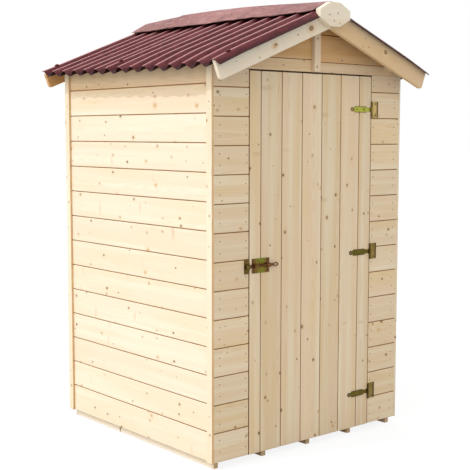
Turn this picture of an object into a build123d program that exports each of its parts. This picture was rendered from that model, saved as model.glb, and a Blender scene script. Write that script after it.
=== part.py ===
from build123d import *
import os
from math import cos, pi, radians, sin, tan

# Small wooden garden shed: five bearers, a boarded box, a ledged door and a corrugated saddle roof.
# Millimetres, +Z up, door towards -Y, origin on the ground under the middle of the roof's plan.

# Walls
half_width = 588
half_depth = 594
wall = 16
front_foot = 31
side_foot = 30
eaves = 1744
trim_wide, trim_thick = 36, 12
trim_rise = 2
under_roof_play = 1
notch_play = 1

# Floor
bearer_wide, bearer_high = 24, 45
bearer_places = [-560, -280, 0, 280, 560]
bearer_setback = 22
deck_thick = 16
deck_edge = 570

# Frame timbers
post = 45
stud_thick, stud_deep = 28, 45
plate_high = 28

# Door and doorway
door_half = 385.5
doorway_half = 391
door_top = 1738
ledge_half, ledge_high, ledge_thick = 350, 90, 20
brace_wide = 70
brace_reach = 300

# Roof
pitch_angle = 21.67
roof_apex = 2004
eave_reach = 660
ridge_gap = 20
sheet_thick = 3
wave_length = 98.4
wave_high = 31
wave_flank = 42
waves_between_barges = 14
sheet_margin = 40
right_sheet_trim = 10
sheet_lap_wave = 8
sheet_lap_reach = 0.7
lap_lift = 3.6
barge_thick = 20
barge_top = 2028.7
front_barge_deep, back_barge_deep = 88, 74
barge_end = 633
barge_round = 12
ridge_beam_wide, ridge_beam_top, ridge_beam_foot = 45, 1995, 1934
purlin_inner, purlin_outer = 480, 525
king_wide, king_thick, king_offset = 38, 20, 5
felt_half, felt_thick, felt_edge, felt_round = 115, 3, 1994, 40
felt_front_apex, felt_lap_apex, felt_back_apex = 2056, 2092, 2074
felt_lap_start, felt_lap_end = 325, 385
cap_half_wide, cap_half_high, cap_flat, cap_side, cap_thick = 96, 54, 31, 20, 30
cap_centre = 1993
cap_side_play, cap_back_play = 3, 1
cap_notch_high = 100

# Hinges, with places measured from the hinge's axis
hinge_heights = {"top": 1581, "middle": 895, "bottom": 198}
metal = 2.5
screw_hole = 2.2
drill_long = 20
knuckle_radius, knuckle_gap = 4.5, 0.6
pin_radius, pin_play = 2.4, 0.15
hinge_axis_x = 388.2
hinge_plate_wide, hinge_plate_high = 42, 76
plate_screws = [(21, 27), (21, -27)]
strap_long, strap_high = 142, 29
neck_start, neck_end, neck_half = 10, 26, 9
shoulder, taper_start, taper_end, tail_half = 40, 112, 122, 6.5
eye_radius, eye_hole = 10, 4
strap_screws = [54, 100]

# Slide bolt
bolt_height = 883
bolt_plate_left, bolt_plate_right = -373, -271
bolt_plate_high = 65
keeper_left, keeper_right = -418, -393
base_screw_edge, base_screw_rise = 12, 24
rod_radius, rod_play, keeper_play = 6, 1, 2.5
rod_tip, rod_chamfer = -385, 1.5
loop_wide, loop_wall = 22, 2.5
left_loop_edge, right_loop_edge = 4, 2
ring_centre_x, ring_half_long, ring_half_high = -239.5, 14, 7
ring_wire, ring_sides, wire_sides = 2.6, 16, 8

# Worked out from the values above
slope = radians(pitch_angle)
front_face = -half_depth
front_back = front_face + wall
deck_top = bearer_high + deck_thick
crest_end = half_depth + (waves_between_barges * wave_length - 2 * half_depth) / 2
barge_out = crest_end + barge_thick / 2
barge_in = crest_end - barge_thick / 2
sheet_end = crest_end + sheet_margin
hinge_axis_y = front_face - knuckle_radius
rod_axis_y = front_face - metal - rod_radius - rod_play


def block(x0, x1, y0, y1, z0, z1):
    return Pos((x0 + x1) / 2, (y0 + y1) / 2, (z0 + z1) / 2) * Box(x1 - x0, y1 - y0, z1 - z0)


def upright_prism(points, y0, y1):
    # Extrudes an outline drawn in X and Z along Y
    outline = Polyline(*[(x, y0, z) for x, z in points], close=True)
    return extrude(make_face(outline), amount=y1 - y0, dir=(0, 1, 0))


def roof_height(x):
    return roof_apex - tan(slope) * abs(x)


def keep(shape, name):
    shape.label = name
    export_step(shape, os.path.join("parts", name + ".step"))


def group(*shapes):
    return Compound(children=list(shapes))


def mirrored(points):
    return [(-x, z) for x, z in points]


# Floor: bearers that run front to back, and a deck of boards laid across them
def floor_bearers():
    run = half_depth - bearer_setback
    half = bearer_wide / 2
    return group(*[block(x - half, x + half, -run, run, 0, bearer_high) for x in bearer_places])


def floor_deck():
    return block(-deck_edge, deck_edge, -deck_edge, deck_edge, bearer_high, deck_top)


# Walls: horizontal boards on a light frame, whose side boards stop behind the front and back ones
def side_wall(side):
    x0, x1 = sorted((side * half_width, side * (half_width - wall)))
    return block(x0, x1, front_back, -front_back, side_foot, roof_height(half_width) - under_roof_play)


def front_panel(side):
    x0, x1 = sorted((side * half_width, side * doorway_half))
    return block(x0, x1, front_face, front_back, front_foot, eaves)


def back_wall():
    return block(-half_width, half_width, -front_back, half_depth, front_foot, eaves)


def gable(x0, x1, y0, y1):
    # Fills the triangle over the eaves line and is notched over the ridge beam and the purlins
    corners = [x1, 0, x0] if x0 < 0 < x1 else [x1, x0]
    tops = [(x, roof_height(x) - under_roof_play) for x in corners]
    panel = upright_prism([(x0, eaves), (x1, eaves)] + tops, y0, y1)
    beam = ridge_beam_wide / 2 + notch_play
    through = (y0 - notch_play, y1 + notch_play)
    panel -= block(-beam, beam, *through, ridge_beam_foot - notch_play, roof_apex)
    for side in (-1, 1):
        notch = sorted((side * (purlin_inner - notch_play), side * (purlin_outer + notch_play)))
        panel -= block(*notch, *through, eaves + plate_high - notch_play, roof_apex)
    return panel


def corner_posts():
    outer = half_width - wall
    posts = []
    for sx in (-1, 1):
        for sy in (-1, 1):
            xs = sorted((sx * outer, sx * (outer - post)))
            ys = sorted((sy * -front_back, sy * (-front_back - post)))
            posts.append(block(*xs, *ys, deck_top, eaves))
    return group(*posts)


def wall_studs():
    # Jambs beside the doorway, one stud in the middle of each side wall and one in the back wall
    inner = half_width - wall
    half = stud_deep / 2
    studs = [block(-half, half, -front_back - stud_thick, -front_back, deck_top, eaves)]
    for side in (-1, 1):
        jamb = sorted((side * doorway_half, side * (doorway_half + stud_thick)))
        studs.append(block(*jamb, front_back, front_back + stud_deep, deck_top, eaves))
        mid = sorted((side * inner, side * (inner - stud_thick)))
        studs.append(block(*mid, -half, half, deck_top, eaves - plate_high))
    return group(*studs)


def top_plates():
    outer = half_width - wall
    between = -front_back - post
    plates = []
    for side in (-1, 1):
        ys = sorted((side * -front_back, side * (-front_back - stud_deep)))
        plates.append(block(-outer, outer, *ys, eaves, eaves + plate_high))
        xs = sorted((side * outer, side * (outer - post)))
        plates.append(block(*xs, -between, between, eaves - plate_high, eaves))
    return group(*plates)


def corner_trim(sx, sy):
    xs = sorted((sx * half_width, sx * (half_width + trim_thick)))
    ys = sorted((sy * half_depth, sy * (half_depth - trim_wide)))
    return block(*xs, *ys, side_foot + trim_rise, roof_height(half_width + trim_thick) - under_roof_play)


def king_post(side):
    # Cover strip over the joint between the two halves of a gable
    x0 = king_offset - king_wide / 2
    ys = sorted((side * half_depth, side * (half_depth + king_thick)))
    return block(x0, x0 + king_wide, *ys, eaves + trim_rise, ridge_beam_foot)


# Roof carpentry
def ridge_beam():
    half = ridge_beam_wide / 2
    return block(-half, half, -barge_in, barge_in, ridge_beam_foot, ridge_beam_top)


def eave_purlins():
    foot = eaves + plate_high
    outline = [
        (purlin_inner, foot),
        (purlin_outer, foot),
        (purlin_outer, roof_height(purlin_outer)),
        (purlin_inner, roof_height(purlin_inner)),
    ]
    right = upright_prism(outline, -barge_in, barge_in)
    left = upright_prism(mirrored(outline), -barge_in, barge_in)
    return group(left, right)


def barge_board(sx, sy):
    # Mitred at the ridge, cut square to the slope at the eave, with a rounded lower corner
    deep = front_barge_deep if sy < 0 else back_barge_deep
    low_apex = barge_top - deep / cos(slope)
    foot = low_apex - barge_end * tan(slope)
    outline = [
        (0, low_apex),
        (barge_end, foot),
        (barge_end + deep * sin(slope), foot + deep * cos(slope)),
        (0, barge_top),
    ]
    ys = sorted((sy * barge_in, sy * barge_out))
    board = upright_prism(outline, *ys)
    corner = board.edges().filter_by(Axis.Y).sort_by(Axis.Z)[0]
    board = fillet(corner, barge_round)
    return board if sx > 0 else mirror(board, about=Plane.YZ)


def ridge_cap(side):
    # Flat plate with eight sides that closes the ridge in front of the barge boards
    outline = [
        (cap_flat, -cap_half_high),
        (cap_half_wide, -cap_side),
        (cap_half_wide, cap_side),
        (cap_flat, cap_half_high),
        (-cap_flat, cap_half_high),
        (-cap_half_wide, cap_side),
        (-cap_half_wide, -cap_side),
        (-cap_flat, -cap_half_high),
    ]
    ys = sorted((side * barge_out, side * (barge_out + cap_thick)))
    return upright_prism([(x, cap_centre + z) for x, z in outline], *ys)


# Corrugated sheet: a zigzag with rounded crests and troughs, extruded down the slope
def wave_outline(y0, y1, lift):
    # Centre line of the sheet between y0 and y1, as points of the sharp zigzag and the fillet radius
    flank = radians(wave_flank)
    sharp = wave_length / 2 * tan(flank)
    middle = (wave_high - sheet_thick) / 2 + sheet_thick / 2 + lift
    radius = (sharp - (wave_high - sheet_thick)) / 2 / (1 / cos(flank) - 1)
    half = wave_length / 2
    points = []
    first = -crest_end - half
    for i in range(2 * waves_between_barges + 3):
        y = first + i * half
        n = middle + (sharp / 2 if i % 2 else -sharp / 2)
        points.append((y, n))
    inside = [p for p in points if y0 < p[0] < y1]

    def on_zigzag(y):
        for (ya, na), (yb, nb) in zip(points, points[1:]):
            if ya <= y <= yb:
                return na + (nb - na) * (y - ya) / (yb - ya)
        return middle

    return [(y0, on_zigzag(y0))] + inside + [(y1, on_zigzag(y1))], radius


def roof_sheet(side, y0, y1, lift):
    points, radius = wave_outline(y0, y1, lift)
    half = sheet_thick / 2
    along = Vector(side * cos(slope), 0, -sin(slope))
    normal = Vector(side * sin(slope), 0, cos(slope))
    apex = Vector(0, 0, roof_apex)
    start = ridge_gap / cos(slope)
    end = eave_reach / cos(slope)

    def place(y, n):
        return apex + along * start + normal * n + Vector(0, y, 0)

    upper = FilletPolyline(*[place(y, n + half) for y, n in points], radius=radius)
    lower = FilletPolyline(*[place(y, n - half) for y, n in points], radius=radius)
    ends = [Line(upper @ 0, lower @ 0), Line(upper @ 1, lower @ 1)]
    face = make_face([*upper.edges(), *lower.edges(), *ends])
    sheet = extrude(face, amount=end - start, dir=along)
    # Notched round the front cap, and cut off along the back barge boards
    reach = cap_half_wide + cap_side_play
    inner = barge_out - cap_back_play
    outer = sheet_end + cap_back_play
    sheet -= block(-reach, reach, -outer, -inner, roof_apex - cap_notch_high, roof_apex + cap_notch_high)
    return sheet - block(-outer, outer, inner, outer, eaves - cap_notch_high, roof_apex + cap_notch_high)


def felt_section(y, apex, edge):
    lower = FilletPolyline(
        (-felt_half, y, edge),
        (0, y, apex),
        (felt_half, y, edge),
        radius=felt_round,
    )
    upper = FilletPolyline(
        (-felt_half, y, edge + felt_thick),
        (0, y, apex + felt_thick),
        (felt_half, y, edge + felt_thick),
        radius=felt_round,
    )
    ends = [Line(upper @ 0, lower @ 0), Line(upper @ 1, lower @ 1)]
    return make_face([*upper.edges(), *lower.edges(), *ends])


def ridge_felt(y0, apex0, y1, apex1, lift):
    # Strip of felt folded over the ridge, whose edges lie on the crests of the sheets
    first = felt_section(y0, apex0 + lift, felt_edge + lift)
    last = felt_section(y1, apex1 + lift, felt_edge + lift)
    return loft([first, last], ruled=True)


# Door: a boarded leaf held by three ledges and two braces
def door_leaf():
    return block(-door_half, door_half, front_face, front_back, front_foot, door_top)


def door_ledges():
    half = ledge_high / 2
    back = front_back + ledge_thick
    return group(*[block(-ledge_half, ledge_half, front_back, back, z - half, z + half) for z in hinge_heights.values()])


def door_braces():
    # Each brace rises from the hinge side to the lock side between two ledges
    heights = sorted(hinge_heights.values())
    braces = []
    for low, high in zip(heights, heights[1:]):
        z0 = low + ledge_high / 2
        z1 = high - ledge_high / 2
        outline = [
            (brace_reach, z0),
            (brace_reach - brace_wide, z0),
            (-brace_reach, z1),
            (-brace_reach + brace_wide, z1),
        ]
        braces.append(upright_prism(outline, front_back, front_back + ledge_thick))
    return group(*braces)


def drill(x, z, radius):
    return Pos(x, front_face, z) * Rot(90, 0, 0) * Cylinder(radius, drill_long)


# T hinges: a plate with two knuckles and the pin on the post, a strap with one knuckle on the door
def knuckle(z0, z1):
    return Pos(hinge_axis_x, hinge_axis_y, (z0 + z1) / 2) * Cylinder(knuckle_radius, z1 - z0)


def hinge_plate(z):
    half = hinge_plate_high / 2
    inner = strap_high / 2 + knuckle_gap
    x0 = hinge_axis_x + knuckle_radius
    plate = block(x0, x0 + hinge_plate_wide, front_face - metal, front_face, z - half, z + half)
    for a, b in ((-half, -inner), (inner, half)):
        plate += block(hinge_axis_x, x0 + metal, front_face - metal, front_face, z + a, z + b)
        plate += knuckle(z + a, z + b)
    plate += Pos(hinge_axis_x, hinge_axis_y, z) * Cylinder(pin_radius, hinge_plate_high)
    for dx, dz in plate_screws:
        plate -= drill(x0 + dx, z + dz, screw_hole)
    return plate


def hinge_strap(z):
    # Full height near the middle, a neck by the knuckle, and a small round eye at the tip
    high = strap_high / 2
    tip = strap_long - eye_radius
    profile = [
        (0, high),
        (neck_start, neck_half),
        (neck_end, neck_half),
        (shoulder, high),
        (taper_start, high),
        (taper_end, tail_half),
        (tip, tail_half),
    ]
    upper = [(hinge_axis_x - dx, z + dz) for dx, dz in profile]
    lower = [(hinge_axis_x - dx, z - dz) for dx, dz in reversed(profile)]
    strap = upright_prism(upper + lower, front_face - metal, front_face)
    eye = Rot(90, 0, 0) * Cylinder(eye_radius, metal)
    strap += Pos(hinge_axis_x - tip, front_face - metal / 2, z) * eye
    strap -= drill(hinge_axis_x - tip, z, eye_hole)
    for dx in strap_screws:
        strap -= drill(hinge_axis_x - dx, z, screw_hole)
    strap += knuckle(z - high, z + high)
    bore = Cylinder(pin_radius + pin_play, hinge_plate_high)
    return strap - Pos(hinge_axis_x, hinge_axis_y, z) * bore


# Slide bolt: a plate with two loops on the door, a rod with a ring, and a keeper on the post
def arch(x0, x1, radius):
    # Half round over the rod, with straight legs down to the plate
    sides = (bolt_height - radius, bolt_height + radius)
    tube = Pos((x0 + x1) / 2, rod_axis_y, bolt_height) * Rot(0, 90, 0) * Cylinder(radius, x1 - x0)
    crown = tube & block(x0, x1, rod_axis_y - radius, rod_axis_y, *sides)
    return crown + block(x0, x1, rod_axis_y, front_face - metal, *sides)


def bolt_loop(x0, play):
    # Pressed strap that arches over the rod, open along X
    inner = rod_radius + play
    bore = arch(x0 - loop_wall, x0 + loop_wide + loop_wall, inner)
    return arch(x0, x0 + loop_wide, inner + loop_wall) - bore


def bolt_base(x0, x1, loops, play, screw_places):
    half = bolt_plate_high / 2
    base = block(x0, x1, front_face - metal, front_face, bolt_height - half, bolt_height + half)
    for start in loops:
        base += bolt_loop(start, play)
    for x in screw_places:
        base -= drill(x, bolt_height - base_screw_rise, screw_hole)
        base -= drill(x, bolt_height + base_screw_rise, screw_hole)
    return base


def bolt_plate():
    loops = [bolt_plate_left + left_loop_edge, bolt_plate_right - right_loop_edge - loop_wide]
    screw_places = [bolt_plate_left + base_screw_edge, bolt_plate_right - base_screw_edge]
    return bolt_base(bolt_plate_left, bolt_plate_right, loops, rod_play, screw_places)


def bolt_keeper():
    # Its loop is looser than the plate's, so that the rod finds it when the door has sagged a little
    middle = (keeper_left + keeper_right) / 2
    return bolt_base(keeper_left, keeper_right, [middle - loop_wide / 2], keeper_play, [middle])


def pull_ring():
    # Oval of bent wire, made of short straight runs
    turns = [2 * pi * (i + 0.5) / ring_sides for i in range(ring_sides)]
    corners = [
        (ring_centre_x + ring_half_long * cos(turn), rod_axis_y, bolt_height + ring_half_high * sin(turn))
        for turn in turns
    ]
    path = Polyline(*corners, close=True)
    run = path.edges()[0]
    section = Plane(origin=run @ 0.5, z_dir=run % 0.5) * RegularPolygon(ring_wire, wire_sides)
    return sweep(section, path=path, transition=Transition.RIGHT)


def bolt_rod():
    long = ring_centre_x - ring_half_long - rod_tip
    bar = Cylinder(rod_radius, long, align=(Align.CENTER, Align.CENTER, Align.MIN))
    rod = Pos(rod_tip, rod_axis_y, bolt_height) * Rot(0, 90, 0) * bar
    rod = chamfer(rod.edges().sort_by(Axis.X)[0], rod_chamfer)
    return rod + pull_ring()


os.makedirs("parts", exist_ok=True)

keep(floor_bearers(), "floor_bearers")
keep(floor_deck(), "floor_deck")
keep(back_wall(), "back_wall")
keep(corner_posts(), "corner_posts")
keep(wall_studs(), "wall_studs")
keep(top_plates(), "top_plates")
keep(ridge_beam(), "ridge_beam")
keep(eave_purlins(), "eave_purlins")
keep(gable(-half_width, half_width, -front_back, half_depth), "back_gable")

for name, side in (("left", -1), ("right", 1)):
    keep(side_wall(side), name + "_wall")
    keep(front_panel(side), "front_" + name + "_panel")
    keep(gable(*sorted((0, side * half_width)), front_face, front_back), "front_gable_" + name)
    for end, way in (("front", -1), ("back", 1)):
        keep(corner_trim(side, way), f"{end}_{name}_trim")
        keep(barge_board(side, way), f"{end}_{name}_barge")
    front_edge = -sheet_end + (right_sheet_trim if side > 0 else 0)
    lap = -crest_end + sheet_lap_wave * wave_length
    reach = sheet_lap_reach * wave_length
    keep(roof_sheet(side, front_edge, lap + reach, lap_lift), f"roof_sheet_{name}_front")
    keep(roof_sheet(side, lap - reach, sheet_end, 0), f"roof_sheet_{name}_back")

for end, way in (("front", -1), ("back", 1)):
    keep(king_post(way), end + "_king_post")
    keep(ridge_cap(way), end + "_ridge_cap")

# The back strip starts under the front one, at the height that the front one has there
felt_end = barge_out - cap_back_play
felt_climb = (felt_lap_apex - felt_front_apex) / (felt_lap_end + felt_end)
under_lap = felt_lap_apex - felt_climb * (felt_lap_end - felt_lap_start)
keep(ridge_felt(-felt_end, felt_front_apex, felt_lap_end, felt_lap_apex, lap_lift), "ridge_felt_front")
keep(ridge_felt(felt_lap_start, under_lap, felt_end, felt_back_apex, 0), "ridge_felt_back")

keep(door_leaf(), "door_leaf")
keep(door_ledges(), "door_ledges")
keep(door_braces(), "door_braces")
for name, z in hinge_heights.items():
    keep(hinge_plate(z), f"hinge_plate_{name}")
    keep(hinge_strap(z), f"hinge_strap_{name}")
keep(bolt_plate(), "bolt_plate")
keep(bolt_rod(), "bolt_rod")
keep(bolt_keeper(), "bolt_keeper")
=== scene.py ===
import math
import random
from contextlib import contextmanager

import bmesh
import bpy
from mathutils import Matrix, Vector


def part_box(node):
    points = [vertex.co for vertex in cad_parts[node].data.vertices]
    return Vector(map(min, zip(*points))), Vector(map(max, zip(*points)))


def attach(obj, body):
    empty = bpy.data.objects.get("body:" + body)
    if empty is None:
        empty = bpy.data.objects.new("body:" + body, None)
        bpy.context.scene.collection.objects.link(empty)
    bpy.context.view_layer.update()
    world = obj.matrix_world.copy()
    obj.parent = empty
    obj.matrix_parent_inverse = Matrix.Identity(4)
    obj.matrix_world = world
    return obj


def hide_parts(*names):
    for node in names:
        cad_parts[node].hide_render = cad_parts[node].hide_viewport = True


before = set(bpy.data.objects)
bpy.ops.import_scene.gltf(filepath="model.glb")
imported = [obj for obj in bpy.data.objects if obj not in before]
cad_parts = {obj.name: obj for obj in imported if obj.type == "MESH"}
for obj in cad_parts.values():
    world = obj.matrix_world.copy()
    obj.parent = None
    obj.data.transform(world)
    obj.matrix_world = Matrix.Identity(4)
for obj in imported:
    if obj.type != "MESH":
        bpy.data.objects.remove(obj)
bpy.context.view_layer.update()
print("frame loaded,", len(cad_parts), "nodes")

xAxis = Vector((1, 0, 0))
yAxis = Vector((0, 1, 0))
zAxis = Vector((0, 0, 1))

# sizes that several pieces share, the first four read from the frame
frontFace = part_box("door_leaf")[0].y
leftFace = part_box("left_wall")[0].x
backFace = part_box("back_wall")[1].y
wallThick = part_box("left_wall")[1].x - leftFace
slope = math.radians(21.67)
roofApex = 2.004  # where the tops of the gables meet


def slopeWay(side):
    # Down the left slope (-1) or the right one (1)
    return Vector((side * math.cos(slope), 0, -math.sin(slope)))


def slopeNormal(side):
    return Vector((side * math.sin(slope), 0, math.cos(slope)))


def roofHeight(x):
    return roofApex - math.tan(slope) * abs(x)


def addObject(name, data):
    made = bpy.data.objects.new(name, data)
    bpy.context.scene.collection.objects.link(made)
    return made


# the camera that was fitted to the joints between the boards, in metres, degrees and millimetres
view = {"place": (-3.292, -3.942, 1.465), "yaw": 40.128, "pitch": 5.699, "roll": 0.06, "lens": 77.74, "sensor": 36}


def makeCamera():
    camera = addObject("camera", bpy.data.cameras.new("camera"))
    camera.data.lens = view["lens"]
    camera.data.sensor_width = view["sensor"]
    yaw, pitch, roll = (math.radians(view[part]) for part in ("yaw", "pitch", "roll"))
    ahead = Vector((math.sin(yaw) * math.cos(pitch), math.cos(yaw) * math.cos(pitch), -math.sin(pitch)))
    turn = ahead.to_track_quat("-Z", "Y").to_matrix().to_4x4()
    camera.matrix_world = Matrix.Translation(view["place"]) @ turn @ Matrix.Rotation(roll, 4, "Z")
    bpy.context.scene.camera = camera


makeCamera()


# short ways to write nodes, for shaders and for geometry
def setInputs(tree, node, inputs):
    for key, value in inputs.items():
        if isinstance(value, bpy.types.NodeSocket):
            tree.links.new(value, node.inputs[key])
        else:
            node.inputs[key].default_value = value


def addNode(tree, kind, inputs=None, **settings):
    made = tree.nodes.new(kind)
    for key, value in settings.items():
        setattr(made, key, value)
    setInputs(tree, made, inputs or {})
    return made


def calc(tree, operation, *values):
    return addNode(tree, "ShaderNodeMath", dict(enumerate(values)), operation=operation).outputs[0]


def times(tree, first, second):
    return calc(tree, "MULTIPLY", first, second)


def plus(tree, first, second):
    return calc(tree, "ADD", first, second)


def minus(tree, first, second):
    return calc(tree, "SUBTRACT", first, second)


def vectorCalc(tree, operation, *values):
    made = addNode(tree, "ShaderNodeVectorMath", dict(enumerate(values)), operation=operation)
    return made.outputs["Value" if operation == "LENGTH" else "Vector"]


def combine(tree, x=0.0, y=0.0, z=0.0):
    return addNode(tree, "ShaderNodeCombineXYZ", {"X": x, "Y": y, "Z": z}).outputs[0]


def split(tree, vector):
    return addNode(tree, "ShaderNodeSeparateXYZ", {"Vector": vector}).outputs


def ramp(tree, value, low, high, toLow=0.0, toHigh=1.0, smooth=True):
    kind = "SMOOTHSTEP" if smooth else "LINEAR"
    inputs = {"Value": value, "From Min": low, "From Max": high, "To Min": toLow, "To Max": toHigh}
    return addNode(tree, "ShaderNodeMapRange", inputs, interpolation_type=kind).outputs["Result"]


def noise(tree, vector, scale, detail=2.0, rough=0.5):
    inputs = {"Vector": vector, "Scale": scale, "Detail": detail, "Roughness": rough}
    return addNode(tree, "ShaderNodeTexNoise", inputs).outputs["Fac"]


def streaks(tree, place, scales, detail=2.0, rough=0.5):
    # Noise with a scale of its own for each axis
    return noise(tree, vectorCalc(tree, "MULTIPLY", place, scales), 1.0, detail, rough)


def mixColour(tree, share, first, second, blend="MIX"):
    made = addNode(tree, "ShaderNodeMix", data_type="RGBA", blend_type=blend)
    for socket, value in (("Factor_Float", share), ("A_Color", first), ("B_Color", second)):
        target = next(s for s in made.inputs if s.identifier == socket)
        if isinstance(value, bpy.types.NodeSocket):
            tree.links.new(value, target)
        else:
            target.default_value = value
    return next(s for s in made.outputs if s.identifier == "Result_Color")


def colour(tint):
    # sRGB, 0 to 255, as the linear colour that sockets take
    def linear(part):
        part /= 255
        return part / 12.92 if part <= 0.04045 else ((part + 0.055) / 1.055) ** 2.4
    return (*(linear(part) for part in tint), 1)


def coat(tree, body, share, tint, blend="MIX"):
    return mixColour(tree, share, body, colour(tint), blend)


def addBump(tree, shader, height, strength, distance):
    bump = addNode(tree, "ShaderNodeBump", {"Height": height, "Strength": strength, "Distance": distance})
    tree.links.new(bump.outputs["Normal"], shader.inputs["Normal"])


def newMaterial(name):
    made = bpy.data.materials.new(name)
    made.use_nodes = True
    return made, made.node_tree, made.node_tree.nodes["Principled BSDF"]


def attribute(tree, name, output="Fac"):
    return addNode(tree, "ShaderNodeAttribute", attribute_name=name).outputs[output]


def objectPlace(tree):
    return addNode(tree, "ShaderNodeTexCoord").outputs["Object"]


# Every wooden piece carries "grain", its place along, across and through its own board, a "boardSeed" and
# a value that pales the wood above nothing and darkens it below: painted light and painted shade where the sun
# and the roof fall on it, while on the trims, the ridge caps and the king posts it only makes them a little paler.
# Boards also carry their "depth" below the face, because painted shade, with some darker end grain and dirt,
# lies in their joints and on their sawn ends
spruce = {
    "pale": (230, 215, 187), "pink": (224, 201, 170), "tan": (221, 196, 155), "late": (203, 170, 124),
    # the first two colours on the next line paint light and shade, and the third paints shade, with some dirt, into
    # the joints
    "bleached": (234, 226, 208), "shaded": (237, 200, 149), "groove": (190, 154, 112),
    "knot": (158, 124, 86), "knotEdge": (118, 90, 58), "faintKnot": (208, 174, 130), "halo": (218, 186, 144),
    "pin": (108, 88, 62), "palePin": (184, 160, 126), "spike": (196, 160, 120),
    "boardSteps": (53.7, 19.3, 7.1), "boardTone": (0.95, 1.03), "boardHue": (-0.06, 0.06), "lateShare": 0.22,
    "fromFace": (0.0004, 0.0034), "fromBack": (0.0003, 0.0025), "specular": 0.12, "roughness": (0.6, 0.72),
    "bump": 0.35, "bumpDepth": 0.0003,
}
growth = {"perMetre": 190.0, "offCentre": 0.14, "sway": 0.045, "pith": (0.11, -0.02), "bow": -0.09}
# "step" is the size of a cell along and across the board, "size" the least and the most radius
knots = {
    "big": {"step": (0.34, 0.09), "size": (0.0045, 0.0095), "kept": 0.24, "squash": (0.8, 1, 0)},
    "pin": {"step": (0.12, 0.05), "size": (0.0016, 0.0066), "kept": 0.30, "squash": (0.8, 1, 0)},
    "spike": {"step": (0.40, 0.10), "size": (0.006, 0.012), "kept": 0.22, "squash": (1.0, 0.34, 0)},
}
tiny = 0.00001  # keeps a radius off nothing, where it divides


def knotLayer(tree, place, layer):
    # Knots lie one to a cell of a stretched voronoi, and only some cells have one
    (along, across), least = layer["step"], 1 - layer["kept"]
    scaled = vectorCalc(tree, "MULTIPLY", place, (1 / along, 1 / across, 0))
    cells = addNode(tree, "ShaderNodeTexVoronoi", {"Vector": scaled, "Scale": 1.0}, voronoi_dimensions="2D").outputs
    centre = vectorCalc(tree, "MULTIPLY", cells["Position"], (along, across, 0))
    away = vectorCalc(tree, "MULTIPLY", vectorCalc(tree, "SUBTRACT", place, centre), layer["squash"])
    wobble = plus(tree, 0.8, times(tree, noise(tree, place, 90.0, 1.0), 0.4))
    distance = times(tree, vectorCalc(tree, "LENGTH", away), wobble)
    chance = addNode(tree, "ShaderNodeSeparateColor", {"Color": cells["Color"]}).outputs
    radius = ramp(tree, chance["Red"], least, 1.0, *layer["size"], smooth=False)
    radius = plus(tree, times(tree, radius, calc(tree, "GREATER_THAN", chance["Red"], least)), tiny)
    return away, calc(tree, "DIVIDE", distance, radius), chance["Green"]


def growthRings(tree, grain, place, seed, knotAway, knotShare):
    # Rings round a pith that wanders, and that bow round a knot
    pull = calc(tree, "EXPONENT", times(tree, calc(tree, "POWER", knotShare, 2.0), growth["bow"]))
    across = minus(tree, split(tree, grain)["Y"], times(tree, split(tree, knotAway)["Y"], pull))
    across = plus(tree, across, times(tree, minus(tree, seed, 0.5), growth["offCentre"]))
    sway = streaks(tree, place, (1.3, 5.0, 5.0))
    across = plus(tree, across, times(tree, minus(tree, sway, 0.5), growth["sway"]))
    wander, rest = growth["pith"]
    depth = plus(tree, times(tree, streaks(tree, place, (0.75, 0.0, 0.0), 1.0), wander), rest)
    ring = calc(tree, "SQRT", plus(tree, calc(tree, "POWER", across, 2.0), calc(tree, "POWER", depth, 2.0)))
    ring = calc(tree, "FRACT", times(tree, ring, growth["perMetre"]))
    return times(tree, ramp(tree, ring, 0.3, 0.9), ramp(tree, ring, 1.0, 0.92))


def plainWood(tree, place, seed, late, streak, fibre):
    # Broad streaks along the board, a tone and a hue for each board, and the painted light, painted shade and paler
    # tone it carries
    def ofBoard(factor, low, high):
        return ramp(tree, calc(tree, "FRACT", times(tree, seed, factor)), 0.0, 1.0, low, high, smooth=False)
    patch = streaks(tree, place, (1.5, 11.0, 11.0))
    warm = ramp(tree, plus(tree, patch, ofBoard(31.7, *spruce["boardHue"])), 0.34, 0.66)
    wood = mixColour(tree, warm, colour(spruce["pink"]), colour(spruce["tan"]))
    wood = coat(tree, wood, ramp(tree, streak, 0.42, 0.7, 0.0, 0.8), spruce["pale"])
    wood = coat(tree, wood, times(tree, late, spruce["lateShare"]), spruce["late"])
    tone = times(tree, ofBoard(17.3, *spruce["boardTone"]), ramp(tree, fibre, 0.2, 0.8, 0.98, 1.015))
    grey = addNode(tree, "ShaderNodeCombineColor", {"Red": tone, "Green": tone, "Blue": tone}).outputs[0]
    wood = mixColour(tree, 1.0, wood, grey, "MULTIPLY")
    # painted light pales the wood above nothing, painted shade darkens it below
    weather = attribute(tree, "weather")
    wood = coat(tree, wood, ramp(tree, weather, 0.0, 1.0, smooth=False), spruce["bleached"])
    return coat(tree, wood, ramp(tree, weather, 0.0, -1.0, smooth=False), spruce["shaded"], "MULTIPLY")


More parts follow.
